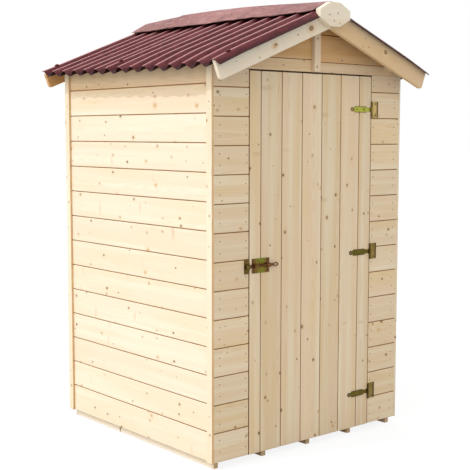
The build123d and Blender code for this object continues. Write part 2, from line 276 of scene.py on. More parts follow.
def spruceMaterial():
    made, tree, shader = newMaterial("spruce")
    grain, seed = attribute(tree, "grain", "Vector"), attribute(tree, "boardSeed")
    place = vectorCalc(tree, "ADD", grain, combine(tree, *(times(tree, seed, step) for step in spruce["boardSteps"])))
    knotAway, knotShare, knotTone = knotLayer(tree, place, knots["big"])
    _, pinShare, pinTone = knotLayer(tree, place, knots["pin"])
    _, spikeShare, spikeTone = knotLayer(tree, place, knots["spike"])

    # a board may have one knot of its own, given as its place along and across and its radius
    own = split(tree, attribute(tree, "ownKnot", "Vector"))
    ownAway = vectorCalc(tree, "SUBTRACT", grain, combine(tree, own["X"], own["Y"]))
    ownAway = vectorCalc(tree, "MULTIPLY", ownAway, knots["big"]["squash"])
    ownShare = calc(tree, "DIVIDE", vectorCalc(tree, "LENGTH", ownAway), plus(tree, own["Z"], tiny))
    knotShare = calc(tree, "MINIMUM", knotShare, ownShare)

    late = growthRings(tree, grain, place, seed, knotAway, knotShare)
    streak = streaks(tree, place, (0.8, 24.0, 24.0), 3.0, 0.55)
    fibre = streaks(tree, place, (14.0, 700.0, 700.0))
    wood = plainWood(tree, place, seed, late, streak, fibre)

    # branches sawn lengthwise leave a faint streak across the board
    spikes = times(tree, ramp(tree, spikeShare, 1.6, 0.2), ramp(tree, spikeTone, 0.0, 1.0, 0.1, 0.4))
    wood = coat(tree, wood, spikes, spruce["spike"])
    # knots, each with a warm halo, a dark rim and a redder heart
    wood = coat(tree, wood, ramp(tree, knotShare, 3.2, 0.9, 0.0, 0.6), spruce["halo"])
    heart = mixColour(tree, ramp(tree, knotShare, 0.5, 1.0), colour(spruce["knot"]), colour(spruce["knotEdge"]))
    faint = times(tree, ramp(tree, knotTone, 0.40, 0.55, 0.0, 0.85), calc(tree, "GREATER_THAN", ownShare, 1.2))
    heart = coat(tree, heart, faint, spruce["faintKnot"])
    wood = mixColour(tree, ramp(tree, knotShare, 1.2, 0.8, 0.0, 0.9), wood, heart)
    wood = coat(tree, wood, ramp(tree, pinShare, 2.8, 0.9, 0.0, 0.35), spruce["halo"])
    pin = mixColour(tree, ramp(tree, pinTone, 0.30, 0.65), colour(spruce["pin"]), colour(spruce["palePin"]))
    wood = mixColour(tree, ramp(tree, pinShare, 1.45, 0.45, 0.0, 0.9), wood, pin)

    # painted shade, with some dirt and darker end grain, in the joints and on the sawn ends of a board, not on its
    # back
    below = attribute(tree, "depth")
    inner = ramp(tree, below, *(wallThick - depth for depth in spruce["fromBack"]))
    edge = times(tree, ramp(tree, below, *spruce["fromFace"]), inner)
    wood = coat(tree, wood, edge, spruce["groove"], "MULTIPLY")
    setInputs(tree, shader, {
        "Base Color": wood, "Roughness": ramp(tree, streak, 0.2, 0.8, *spruce["roughness"]),
        "Specular IOR Level": spruce["specular"],
    })
    height = plus(tree, times(tree, late, -0.5), times(tree, fibre, 0.9))
    height = plus(tree, height, ramp(tree, knotShare, 1.1, 0.9, 0.0, 0.8))
    addBump(tree, shader, height, spruce["bump"], spruce["bumpDepth"])
    return made


sheetLook = {
    "brown": (88, 37, 41), "dark": (60, 21, 26), "trough": (32, 10, 13), "dust": (172, 112, 110),
    "sheen": (255, 150, 146), "under": (34, 16, 14), "roughness": (0.42, 0.56), "specular": 0.35,
    "underRoughness": 0.9, "underSpecular": 0.1,
}
feltLook = {
    "front": (128, 84, 82), "middle": (146, 100, 95), "rear": (128, 84, 79), "dark": (86, 54, 52),
    "pale": (186, 148, 141), "roughness": 0.8, "specular": 0.3,
}


def bitumenMaterial():
    # "crest" runs from -1 in a trough to 1 on a crest; painted shade darkens the troughs and a painted highlight, with
    # some dust, makes the crests paler
    made, tree, shader = newMaterial("bitumenSheet")
    place, crest = objectPlace(tree), attribute(tree, "crest")
    mottle = noise(tree, place, 34.0, 4.0, 0.65)
    streak = streaks(tree, place, (3.0, 26.0, 3.0), 3.0)
    body = mixColour(tree, ramp(tree, mottle, 0.35, 0.7), colour(sheetLook["dark"]), colour(sheetLook["brown"]))
    body = coat(tree, body, ramp(tree, streak, 0.45, 0.8, 0.0, 0.15), sheetLook["dust"])
    # painted shade in the troughs, and a painted highlight, with some dust, on the crests
    body = coat(tree, body, ramp(tree, crest, 0.3, -0.8, 0.0, 0.9), sheetLook["trough"])
    body = coat(tree, body, ramp(tree, crest, 0.80, 1.0, 0.0, 0.85), sheetLook["dust"])
    setInputs(tree, shader, {
        "Base Color": body, "Roughness": ramp(tree, mottle, 0.2, 0.8, *sheetLook["roughness"]),
        "Specular IOR Level": sheetLook["specular"], "Specular Tint": colour(sheetLook["sheen"]),
    })
    grit = noise(tree, place, 520.0, 2.0)
    addBump(tree, shader, plus(tree, times(tree, grit, 0.5), mottle), 0.4, 0.0007)
    return made


def undersideMaterial():
    # The bare bitumen under the sheets and the felt, made darker still as painted shade
    made, tree, shader = newMaterial("bareBitumen")
    fibres = streaks(tree, objectPlace(tree), (40.0, 160.0, 40.0), 3.0)
    share = ramp(tree, fibres, 0.4, 0.7, 0.0, 0.4)
    setInputs(tree, shader, {
        "Base Color": mixColour(tree, share, colour(sheetLook["under"]), colour(sheetLook["dark"])),
        "Roughness": sheetLook["underRoughness"], "Specular IOR Level": sheetLook["underSpecular"],
    })
    addBump(tree, shader, fibres, 0.4, 0.0006)
    return made


def feltMaterial():
    # Mineral grit, with a tint that changes from the front to the rear, dark patches and pale scuffs
    made, tree, shader = newMaterial("ridgeFelt")
    place = objectPlace(tree)
    along = split(tree, place)["Y"]
    grit = addNode(tree, "ShaderNodeTexVoronoi", {"Vector": place, "Scale": 560.0}).outputs
    grains = addNode(tree, "ShaderNodeSeparateColor", {"Color": grit["Color"]}).outputs["Red"]
    patch = noise(tree, place, 11.0, 4.0, 0.6)
    scuff = streaks(tree, place, (50.0, 14.0, 20.0), 3.0)
    body = mixColour(tree, ramp(tree, along, -0.5, -0.1), colour(feltLook["front"]), colour(feltLook["middle"]))
    body = coat(tree, body, ramp(tree, along, 0.0, 0.4), feltLook["rear"])
    body = coat(tree, body, ramp(tree, patch, 0.55, 0.35, 0.0, 0.5), feltLook["dark"])
    body = coat(tree, body, ramp(tree, scuff, 0.54, 0.70, 0.0, 0.35), feltLook["pale"])
    body = coat(tree, body, ramp(tree, grains, 0.6, 1.0, 0.0, 0.6), feltLook["pale"])
    body = coat(tree, body, ramp(tree, grains, 0.25, 0.0, 0.0, 0.5), feltLook["dark"])
    setInputs(tree, shader, {
        "Base Color": body, "Roughness": feltLook["roughness"], "Specular IOR Level": feltLook["specular"],
    })
    addBump(tree, shader, plus(tree, grit["Distance"], times(tree, patch, 2.0)), 0.6, 0.001)
    return made


# Yellow passivate drifts from green through gold to brown, and each fitting has its own share of them.
# "ends" and "edges" are the distances from the fitting's middle, along X and Z, over which it goes brown
zincLooks = {
    "hinge_strap_top": {
        "main": (172, 174, 74), "second": (158, 156, 70), "dark": (100, 86, 36), "tarnish": (120, 96, 50),
        "ends": (0.044, 0.060), "edges": (0.0085, 0.0140),
    },
    "hinge_plate_top": {
        "main": (196, 168, 110), "second": (172, 152, 88), "dark": (112, 82, 44), "tarnish": (84, 62, 30),
        "ends": (0.012, 0.018),
    },
    "hinge_strap": {
        "main": (96, 88, 30), "second": (112, 92, 40), "dark": (64, 50, 20), "tarnish": (74, 58, 22),
        "ends": (0.050, 0.066), "edges": (0.0090, 0.0140),
    },
    "hinge_plate": {
        "main": (132, 112, 58), "second": (146, 124, 76), "dark": (72, 54, 24), "tarnish": (74, 56, 24),
        "ends": (0.012, 0.018),
    },
    "bolt_plate": {
        "main": (116, 124, 42), "second": (128, 104, 52), "dark": (66, 44, 24), "tarnish": (112, 70, 44),
        "ends": (0.018, 0.040),
    },
    "bolt_rod": {"main": (86, 46, 30), "second": (110, 78, 42), "dark": (48, 28, 18)},
    "bolt_keeper": {"main": (140, 116, 72), "second": (104, 84, 36), "dark": (74, 52, 26)},
    "screw": {"main": (118, 92, 56), "second": (96, 80, 50), "dark": (54, 40, 26)},
}
nailLook = {"main": (98, 78, 56), "spots": (66, 50, 36), "metallic": 0.7, "roughness": 0.55}


def zincMaterial(name, look, middle):
    made, tree, shader = newMaterial(name)
    place = objectPlace(tree)
    drift = noise(tree, place, 26.0, 2.0)
    cloud = noise(tree, place, 90.0, 3.0)
    body = mixColour(tree, ramp(tree, drift, 0.42, 0.64), colour(look["main"]), colour(look["second"]))
    away = split(tree, vectorCalc(tree, "SUBTRACT", place, middle))
    for label, axis in (("ends", "X"), ("edges", "Z")):
        if label in look:
            out = calc(tree, "ABSOLUTE", away[axis])
            body = coat(tree, body, ramp(tree, out, *look[label], 0.0, 0.85), look["tarnish"])
    body = coat(tree, body, ramp(tree, cloud, 0.56, 0.75, 0.0, 0.6), look["dark"])
    setInputs(tree, shader, {
        "Base Color": body, "Metallic": 1.0, "Roughness": ramp(tree, cloud, 0.2, 0.8, 0.34, 0.52),
    })
    addBump(tree, shader, streaks(tree, place, (60.0, 60.0, 900.0)), 0.2, 0.0002)
    return made


def nailMaterial():
    made, tree, shader = newMaterial("nailSteel")
    spots = ramp(tree, noise(tree, objectPlace(tree), 400.0, 2.0), 0.4, 0.65)
    setInputs(tree, shader, {
        "Base Color": mixColour(tree, spots, colour(nailLook["main"]), colour(nailLook["spots"])),
        "Metallic": nailLook["metallic"], "Roughness": nailLook["roughness"],
    })
    return made


wood = spruceMaterial()
bitumen = bitumenMaterial()
underside = undersideMaterial()
felt = feltMaterial()
nailSteel = nailMaterial()
screwZinc = zincMaterial("screwZinc", zincLooks["screw"], (0, 0, 0))
print("materials made")


def newTree(name, inputs):
    tree = bpy.data.node_groups.new(name, "GeometryNodeTree")
    tree.interface.new_socket("Geometry", in_out="INPUT", socket_type="NodeSocketGeometry")
    kinds = {int: "NodeSocketInt", float: "NodeSocketFloat", tuple: "NodeSocketVector"}
    for label, value in inputs.items():
        socket = tree.interface.new_socket(label, in_out="INPUT", socket_type=kinds[type(value)])
        socket.default_value = value
    tree.interface.new_socket("Material", in_out="INPUT", socket_type="NodeSocketMaterial")
    tree.interface.new_socket("Geometry", in_out="OUTPUT", socket_type="NodeSocketGeometry")
    return tree, tree.nodes.new("NodeGroupInput").outputs, tree.nodes.new("NodeGroupOutput").inputs[0]


def closeTree(tree, shapes, material, output):
    whole = addNode(tree, "GeometryNodeRealizeInstances", {"Geometry": shapes}).outputs[0]
    dressed = addNode(tree, "GeometryNodeSetMaterial", {"Geometry": whole, "Material": material}).outputs[0]
    tree.links.new(dressed, output)


def moved(tree, shape, place):
    return addNode(tree, "GeometryNodeTransform", {"Geometry": shape, "Translation": place}).outputs[0]


def store(tree, shape, label, value, kind="FLOAT", domain="POINT"):
    inputs = {"Geometry": shape, "Name": label, "Value": value}
    return addNode(tree, "GeometryNodeStoreNamedAttribute", inputs, data_type=kind, domain=domain).outputs[0]


def instances(tree, points, shape, **more):
    inputs = {"Points": points, "Instance": shape, **more}
    return addNode(tree, "GeometryNodeInstanceOnPoints", inputs).outputs[0]


def applyModifiers(piece):
    bpy.context.view_layer.update()
    graph = bpy.context.evaluated_depsgraph_get()
    made = bpy.data.meshes.new_from_object(piece.evaluated_get(graph), preserve_all_data_layers=True, depsgraph=graph)
    piece.modifiers.clear()
    piece.data = made


def runTree(tree, name, settings, material, points=()):
    # Works the tree out on a few loose points, and keeps the result as a plain mesh at the origin
    start = bpy.data.meshes.new(name)
    start.from_pydata([tuple(p) for p in points], [], [])
    holder = addObject(name, start)
    modifier = holder.modifiers.new("nodes", "NODES")
    modifier.node_group = tree
    for item in tree.interface.items_tree:
        if item.in_out == "INPUT" and item.name in settings:
            modifier[item.identifier] = settings[item.name]
        if item.in_out == "INPUT" and item.name == "Material":
            modifier[item.identifier] = material
    applyModifiers(holder)
    # the new mesh has an empty first slot, which faces made later would fall into
    holder.data.materials.clear()
    holder.data.materials.append(material)
    for face in holder.data.polygons:
        face.material_index = 0
    return holder


@contextmanager
def reshaping(mesh):
    # Opens a mesh for changes, and writes them back
    shape = bmesh.new()
    shape.from_mesh(mesh)
    yield shape
    shape.to_mesh(mesh)
    shape.free()


def boardTree():
    # A row of boards laid side by side along Y, each with rounded long edges and a tongue behind the joint
    tree, given, output = newTree("boardRow", {
        "Boards": 12, "Pitch": 0.125, "First Board": 0.125, "Length": 1.0, "Thickness": 0.016,
        "Joint": 0.001, "Edge Round": 0.002, "Weather": 0.0, "Seed": 1,
    })
    pitch, first, length, thick = (given[label] for label in ("Pitch", "First Board", "Length", "Thickness"))
    wide = minus(tree, pitch, given["Joint"])
    section = addNode(tree, "GeometryNodeCurvePrimitiveQuadrilateral", {"Width": wide, "Height": thick}).outputs[0]
    fillet = {"Curve": section, "Radius": given["Edge Round"], "Count": 3, "Limit Radius": True}
    rounded = addNode(tree, "GeometryNodeFilletCurve", fillet, mode="POLY").outputs[0]
    path = addNode(tree, "GeometryNodeCurvePrimitiveLine", {"End": combine(tree, x=length)}).outputs[0]
    sweep = {"Curve": path, "Profile Curve": rounded, "Fill Caps": True}
    down = times(tree, thick, -0.5)
    board = moved(tree, addNode(tree, "GeometryNodeCurveToMesh", sweep).outputs[0], combine(tree, z=down))

    # the tongue ends 2 mm inside the board, and is a third as thick
    tongueWide = plus(tree, given["Joint"], times(tree, given["Edge Round"], 4.0))
    size = combine(tree, minus(tree, length, 0.004), tongueWide, times(tree, thick, 0.35))
    tongue = addNode(tree, "GeometryNodeMeshCube", {"Size": size}).outputs["Mesh"]
    tongue = moved(tree, tongue, combine(tree, times(tree, length, 0.5), times(tree, pitch, -0.5), down))

    # the first board may be taller, so the others start where it ends
    index = tree.nodes.new("GeometryNodeInputIndex").outputs[0]
    isFirst = calc(tree, "LESS_THAN", index, 0.5)

    def byTurn(atFirst, later):
        inputs = {"Switch": isFirst, "False": later, "True": atFirst}
        return addNode(tree, "GeometryNodeSwitch", inputs, input_type="FLOAT").outputs[0]

    line = {"Count": given["Boards"], "Offset": combine(tree, y=pitch)}
    row = addNode(tree, "GeometryNodeMeshLine", line, mode="OFFSET").outputs[0]
    taller = minus(tree, first, pitch)
    shift = byTurn(times(tree, first, 0.5), plus(tree, times(tree, pitch, 0.5), taller))
    row = addNode(tree, "GeometryNodeSetPosition", {"Geometry": row, "Offset": combine(tree, y=shift)}).outputs[0]
    stretch = combine(tree, 1.0, byTurn(calc(tree, "DIVIDE", first, pitch), 1.0), 1.0)

    position = tree.nodes.new("GeometryNodeInputPosition").outputs[0]
    depth = times(tree, split(tree, position)["Z"], -1.0)
    board, tongue = (store(tree, store(tree, shape, "grain", position, "FLOAT_VECTOR"), "depth", depth)
                     for shape in (board, tongue))
    boards = instances(tree, row, board, Scale=stretch)
    tongues = instances(tree, row, tongue, Selection=minus(tree, 1.0, isFirst))
    draw = {"ID": index, "Seed": given["Seed"]}
    chance = addNode(tree, "FunctionNodeRandomValue", draw, data_type="FLOAT").outputs[1]
    both = tree.nodes.new("GeometryNodeJoinGeometry")
    for part in (boards, tongues):
        seeded = store(tree, part, "boardSeed", chance, domain="INSTANCE")
        tree.links.new(store(tree, seeded, "weather", given["Weather"], domain="INSTANCE"), both.inputs[0])
    closeTree(tree, both.outputs[0], given["Material"], output)
    return tree


boardRow = boardTree()


def cutAway(mesh, planes):
    # Saws a mesh off at each plane (a point and the way that is waste), and closes the cut
    with reshaping(mesh) as shape:
        for point, waste in planes:
            everything = shape.verts[:] + shape.edges[:] + shape.faces[:]
            cut = bmesh.ops.bisect_plane(shape, geom=everything, plane_co=point, plane_no=waste, clear_outer=True)
            rim = [e for e in cut["geom_cut"] if isinstance(e, bmesh.types.BMEdge)]
            bmesh.ops.holes_fill(shape, edges=rim, sides=0)


def easeEnds(mesh, along, width):
    # Breaks the sharp edge round the sawn ends of the boards
    with reshaping(mesh) as shape:
        ends = {f for f in shape.faces if abs(f.normal.dot(along)) > 0.99}
        rims = [e for e in shape.edges if len(e.link_faces) == 2 and len(ends.intersection(e.link_faces)) == 1]
        bmesh.ops.bevel(shape, geom=rims, offset=width, segments=2, profile=0.5, affect="EDGES", clamp_overlap=False)


def boardPiece(name, body, node, settings, corner, along, stacked, out, planes=(), ease=0.0):
    piece = runTree(boardRow, name, settings, wood)
    turn = Matrix((along, stacked, out)).transposed().to_4x4()
    piece.data.transform(Matrix.Translation(corner) @ turn)
    if ease:
        easeEnds(piece.data, along, ease)
    cutAway(piece.data, planes)
    for face in piece.data.polygons:
        face.use_smooth = False
    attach(piece, body)
    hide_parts(node)
    return piece


# The "Above" tables give the painted shade on what stands over each height, for a gable from its lowest joint
cladding = {
    "frontPitch": 0.125, "frontJoints": 13, "sidePitch": 0.1262, "firstJoint": 0.164, "joint": 0.0030,
    # painted sunlight on the side walls, and painted shade of the eaves on their highest boards
    "round": 0.0036, "endEase": 0.0022, "sideWeather": 0.38, "sideAbove": ((1.62, 0.06), (1.679, -0.35)),
    "gableJoints": {"front_gable_left": 1.799, "front_gable_right": 1.791, "back_gable": 1.795},
    # painted shade of the roof on the gables, deeper on their higher boards
    "gableBoards": 3, "gableGap": 0.001, "gableWeather": -0.25, "gableAbove": ((0.0, -0.7), (0.1, -0.9)),
    "doorPitch": 0.1252, "doorJoint": -0.3195, "doorBoards": 8,
}
deck = {"boards": 12, "joint": 0.0014, "round": 0.0018}


def boardSettings(count, pitch, first, length, seed, weather=0.0):
    return {
        "Boards": count, "Pitch": pitch, "First Board": first, "Length": length, "Thickness": wallThick,
        "Joint": cladding["joint"], "Edge Round": cladding["round"], "Weather": weather, "Seed": seed,
    }


def shadeAbove(piece, table):
    values = piece.data.attributes["weather"].data
    for vert in piece.data.vertices:
        for height, weather in table:
            if vert.co.z > height:
                values[vert.index].value = weather


def wallBoards(name, node, pitch, along, out, seed, top, weather=0.0):
    low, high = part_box(node)
    first = cladding["firstJoint"]
    count = math.ceil((top - first) / pitch) + 1
    settings = boardSettings(count, pitch, first - low.z, abs((high - low).dot(along)), seed, weather)
    x = low.x if along.x > 0 or out.x < 0 else high.x
    y = low.y if along.y > 0 or out.y < 0 else high.y
    planes = [(Vector((0, 0, top)), zAxis)]
    corner = Vector((x, y, low.z))
    return boardPiece(name, "shed", node, settings, corner, along, zAxis, out, planes, cladding["endEase"])


def makeWalls():
    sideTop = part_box("left_wall")[1].z
    for name, node, along, out, seed in (
        ("leftWallBoards", "left_wall", -yAxis, -xAxis, 11),
        ("rightWallBoards", "right_wall", yAxis, xAxis, 23),
    ):
        piece = wallBoards(name, node, cladding["sidePitch"], along, out, seed, sideTop, cladding["sideWeather"])
        shadeAbove(piece, cladding["sideAbove"])  # painted shade of the eaves on the highest boards
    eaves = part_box("front_left_panel")[1].z
    for name, node, along, out, seed in (
        ("frontLeftBoards", "front_left_panel", xAxis, -yAxis, 31),
        ("frontRightBoards", "front_right_panel", xAxis, -yAxis, 47),
        ("backWallBoards", "back_wall", -xAxis, yAxis, 53),
    ):
        wallBoards(name, node, cladding["frontPitch"], along, out, seed, eaves)


def makeGables():
    apex = Vector((0, 0, roofApex - cladding["gableGap"]))
    slopes = [(apex, slopeNormal(side)) for side in (-1, 1)]
    for name, node, along, out, seed in (
        ("frontGableLeftBoards", "front_gable_left", xAxis, -yAxis, 61),
        ("frontGableRightBoards", "front_gable_right", xAxis, -yAxis, 67),
        ("backGableBoards", "back_gable", -xAxis, yAxis, 71),
    ):
        low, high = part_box(node)
        joint = cladding["gableJoints"][node]
        settings = boardSettings(cladding["gableBoards"], cladding["frontPitch"], joint - low.z, high.x - low.x, seed,
                                 cladding["gableWeather"])
        corner = Vector((low.x if along.x > 0 else high.x, low.y if out.y < 0 else high.y, low.z))
        piece = boardPiece(name, "shed", node, settings, corner, along, zAxis, out, slopes)
        # deeper painted shade under the roof on the gables' higher boards
        shadeAbove(piece, [(joint + rise, weather) for rise, weather in cladding["gableAbove"]])


def makeDoorBoards():
    # Upright boards laid from the hinge side, ripped at both edges of the leaf
    low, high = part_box("door_leaf")
    pitch, count = cladding["doorPitch"], cladding["doorBoards"]
    settings = boardSettings(count, pitch, pitch, high.z - low.z, 83)
    corner = Vector((cladding["doorJoint"] + (count - 2) * pitch + pitch, low.y, low.z))
    planes = [(Vector((low.x, 0, 0)), -xAxis), (Vector((high.x, 0, 0)), xAxis)]
    boardPiece("doorBoards", "door", "door_leaf", settings, corner, zAxis, -xAxis, -yAxis, planes, cladding["endEase"])


def makeDeck():
    low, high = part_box("floor_deck")
    pitch = (high.y - low.y) / deck["boards"]
    settings = boardSettings(deck["boards"], pitch, pitch, high.x - low.x, 97)
    settings.update({"Thickness": high.z - low.z, "Joint": deck["joint"], "Edge Round": deck["round"]})
    boardPiece("deckBoards", "shed", "floor_deck", settings, Vector((low.x, low.y, high.z)), xAxis, yAxis, zAxis)


makeWalls()
makeGables()
makeDoorBoards()
makeDeck()
print("boards laid")


# Planed copies of the CAD timbers, with their edges eased and their grain along the given way.
# "ownKnots" are the place of a knot, as x and z, and its radius
timbers = {
    "ease": 0.0016, "bargeEase": 0.0024, "capEase": 0.005, "weld": 0.00002, "flat": 1, "sharp": 25,
    # painted shade on the bearers and painted light on the outer faces of the outermost ones; trims, ridge caps and
    # king posts are only made a little paler
    "trimWeather": 0.3, "capWeather": 0.5, "kingWeather": 0.1, "bearerWeather": -0.4, "outerBearer": 0.6,
    # painted shade on the back barges and, a little, on the front right one; the front left one is made paler
    "bargeWeather": {"frontleft": 0.5, "frontright": -0.3, "backleft": -0.9, "backright": -0.9},
    # painted shade on the trims' front and back faces, the front right trim's a little paler
    "edgeWeather": {"frontleft": -0.6, "frontright": 0.2, "backleft": -0.6, "backright": -0.6},
    "ownKnots": {"front_left_barge": (-0.121, 1.926, 0.011), "front_right_barge": (0.368, 1.847, 0.010)},
    "sidePlateIn": 0.07, "endPlateIn": 0.0605, "onFace": 0.0003,
}


def islands(shape):
    # The separate timbers of one node
    left = set(shape.verts)
    while left:
        group, edge = [], [left.pop()]
        while edge:
            vert = edge.pop()
            group.append(vert)
            for link in vert.link_edges:
                other = link.other_vert(vert)
                if other in left:
                    left.remove(other)
                    edge.append(other)
        yield group


def timberPiece(name, node, body, along, face, seed, ease=timbers["ease"], weather=0.0):
    shape = bmesh.new()
    shape.from_mesh(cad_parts[node].data)
    bmesh.ops.remove_doubles(shape, verts=shape.verts, dist=timbers["weld"])
    flat = math.radians(timbers["flat"])
    bmesh.ops.dissolve_limit(shape, angle_limit=flat, verts=shape.verts, edges=shape.edges)
    bent = math.radians(timbers["sharp"])
    sharp = [e for e in shape.edges if len(e.link_faces) == 2 and e.calc_face_angle() > bent]
    bmesh.ops.bevel(shape, geom=sharp, offset=ease, segments=2, profile=0.6, affect="EDGES", clamp_overlap=True)
    grain = shape.verts.layers.float_vector.new("grain")
    seeds = shape.verts.layers.float.new("boardSeed")
    lightAndToneLayer = shape.verts.layers.float.new("weather")
    ownKnots = shape.verts.layers.float_vector.new("ownKnot")
    chance = random.Random(seed)
    across = face.cross(along)
    for group in sorted(islands(shape), key=lambda verts: min(tuple(v.co) for v in verts)):
        middle = sum((v.co for v in group), Vector()) / len(group)
        boardSeed = chance.random()
        ownKnot = Vector()
        if node in timbers["ownKnots"]:
            x, z, radius = timbers["ownKnots"][node]
            away = Vector((x, middle.y, z)) - middle
            ownKnot = Vector((away.dot(along), away.dot(across), radius))
        for vert in group:
            away = vert.co - middle
            vert[grain] = (away.dot(along), away.dot(across), away.dot(face))
            vert[seeds] = boardSeed
            vert[lightAndToneLayer] = weather
            vert[ownKnots] = ownKnot
    mesh = bpy.data.meshes.new(name)
    shape.to_mesh(mesh)
    shape.free()
    piece = addObject(name, mesh)
    mesh.materials.append(wood)
    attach(piece, body)
    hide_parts(node)
    return piece


def paintFaces(piece, axis, places, weather):
    # Gives the faces that lie at these places along an axis a value of their own, painted light above nothing and
    # painted shade below
    values = piece.data.attributes["weather"].data
    for vert in piece.data.vertices:
        if min(abs(vert.co[axis] - place) for place in places) < timbers["onFace"]:
            values[vert.index].value = weather


def makeTimbers():
    # painted shade on the bearers under the walls, painted light on the outer faces of the outermost ones
    bearers = timberPiece("bearers", "floor_bearers", "shed", yAxis, zAxis, 3, weather=timbers["bearerWeather"])
    paintFaces(bearers, 0, [corner.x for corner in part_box("floor_bearers")], timbers["outerBearer"])
    timberPiece("cornerPosts", "corner_posts", "shed", zAxis, yAxis, 5)
    timberPiece("studs", "wall_studs", "shed", zAxis, yAxis, 7)
    timberPiece("ridgeBeam", "ridge_beam", "shed", yAxis, xAxis, 9)
    timberPiece("eavePurlins", "eave_purlins", "shed", yAxis, xAxis, 12)
    for end, face in (("front", -yAxis), ("back", yAxis)):
        timberPiece(end + "KingPost", end + "_king_post", "shed", zAxis, face, 15, weather=timbers["kingWeather"])
        timberPiece(end + "RidgeCap", end + "_ridge_cap", "shed", xAxis, face, 17,
                    timbers["capEase"], timbers["capWeather"])
        for side, way, seed in (("left", -1, 19), ("right", 1, 22)):
            node = f"{end}_{side}_trim"
            trim = timberPiece(f"{end}{side.title()}Trim", node, "shed", zAxis, way * xAxis, seed,
                               weather=timbers["trimWeather"])
            # painted shade on each trim's front and back faces
            paintFaces(trim, 1, [corner.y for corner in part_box(node)], timbers["edgeWeather"][end + side])
            # painted shade on the back barges
            timberPiece(f"{end}{side.title()}Barge", f"{end}_{side}_barge", "shed", slopeWay(way), face, seed + 40,
                        timbers["bargeEase"], timbers["bargeWeather"][end + side])
    timberPiece("doorLedges", "door_ledges", "door", xAxis, yAxis, 27)
    timberPiece("doorBraces", "door_braces", "door", zAxis, yAxis, 29)


def makePlates():
    # The plates over the side walls run along Y, those over the front and back along X
    mesh = timberPiece("topPlates", "top_plates", "shed", xAxis, zAxis, 33).data
    grain = mesh.attributes["grain"].data
    inSide, inEnd = abs(leftFace) - timbers["sidePlateIn"], backFace - timbers["endPlateIn"]
    for vert in mesh.vertices:
        if abs(vert.co.x) > inSide and abs(vert.co.y) < inEnd:
            grain[vert.index].vector = (vert.co.y, vert.co.x, vert.co.z)


makeTimbers()
makePlates()
print("timbers planed")


# Sine waves that run down the slope, from "gap" to "eave" as x. Past the purlin the sheet's lower end hangs or
# stands by "droop" at each place along the roof, and "rearLift" is how far the last sheets stand up at the back
roofSheet = {
    "wave": 0.0984, "frontWaves": 7, "high": 0.014, "thick": 0.003, "gap": 0.020, "eave": 0.660, "middle": 0.0155,
    "lap": 0.0036, "lapEnd": 0.12, "perWave": 24, "down": 22, "sag": 0.0012, "purlin": 0.525, "beyond": 0.135,
    "bend": 1.2, "capGap": (0.003, 0.001), "crisp": 40,
    "droop": [(-0.73, -0.0045), (-0.69, -0.0050), (-0.60, -0.0085), (-0.40, -0.0105), (-0.20, -0.0080),
              (-0.05, -0.0045), (0.05, -0.0010), (0.30, 0.0005), (0.73, 0.0010)],
    "rearLift": [(0.20, 0.0), (0.45, 0.0025), (0.64, 0.0070), (0.70, 0.0110), (0.73, 0.0120)],
}


def between(table, place, spread=0.06):
    # Reads a value between the listed places, averaged a little so that no kink shows
    def straight(at):
        if at <= table[0][0]:
            return table[0][1]
        for (a, low), (b, high) in zip(table, table[1:]):
            if at <= b:
                return low + (high - low) * (at - a) / (b - a)
        return table[-1][1]
    return sum(straight(place + spread * step / 3) for step in range(-3, 4)) / 7


def rearLift(y):
    return between(roofSheet["rearLift"], y)


def sheetBend(x, y):
    # How far a sheet stands off its plane
    past = max(0, (abs(x) - roofSheet["purlin"]) / roofSheet["beyond"])
    return between(roofSheet["droop"], y) * past ** roofSheet["bend"] + rearLift(y)


def sheetTree():
    tree, given, output = newTree("corrugatedSheet", {
        "Length": 0.69, "Width": 0.9, "Wave Length": 0.0984, "Wave Height": 0.014, "Phase": 0.0,
        "Per Wave": 16, "Rows": 20, "Unevenness": 0.001, "Seed": 1.0,
    })
    length, width = given["Length"], given["Width"]
    across = times(tree, calc(tree, "DIVIDE", width, given["Wave Length"]), given["Per Wave"])
    sizes = {"Size X": length, "Size Y": width, "Vertices X": given["Rows"], "Vertices Y": across}
    grid = addNode(tree, "GeometryNodeMeshGrid", sizes).outputs["Mesh"]
    flat = moved(tree, grid, combine(tree, times(tree, length, 0.5), times(tree, width, 0.5)))
    position = tree.nodes.new("GeometryNodeInputPosition").outputs[0]
    turn = calc(tree, "DIVIDE", plus(tree, split(tree, position)["Y"], given["Phase"]), given["Wave Length"])
    wave = calc(tree, "COSINE", times(tree, turn, 2 * math.pi))
    shift = combine(tree, given["Seed"], given["Seed"])
    rough = noise(tree, vectorCalc(tree, "ADD", position, shift), 4.0, 1.0)
    uneven = times(tree, minus(tree, rough, 0.5), given["Unevenness"])
    high = plus(tree, times(tree, wave, given["Wave Height"]), uneven)
    marked = store(tree, flat, "crest", wave)
    upper = addNode(tree, "GeometryNodeSetPosition", {"Geometry": marked, "Offset": combine(tree, z=high)}).outputs[0]
    smooth = addNode(tree, "GeometryNodeSetShadeSmooth", {"Geometry": upper}).outputs[0]
    closeTree(tree, smooth, given["Material"], output)
    return tree


corrugated = sheetTree()


def notchRoundCap(mesh):
    # Cuts the surface where the front ridge cap stands
    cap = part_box("front_ridge_cap")[1]
    reach, back = cap.x + roofSheet["capGap"][0], cap.y + roofSheet["capGap"][1]
    cuts = ((Vector((reach, 0, 0)), xAxis), (Vector((-reach, 0, 0)), xAxis), (Vector((0, back, 0)), yAxis))
    with reshaping(mesh) as shape:
        for point, normal in cuts:
            everything = shape.verts[:] + shape.edges[:] + shape.faces[:]
            bmesh.ops.bisect_plane(shape, geom=everything, plane_co=point, plane_no=normal)
        middles = {face: face.calc_center_median() for face in shape.faces}
        gone = [face for face, middle in middles.items() if abs(middle.x) < reach and middle.y < back]
        bmesh.ops.delete(shape, geom=gone, context="FACES")


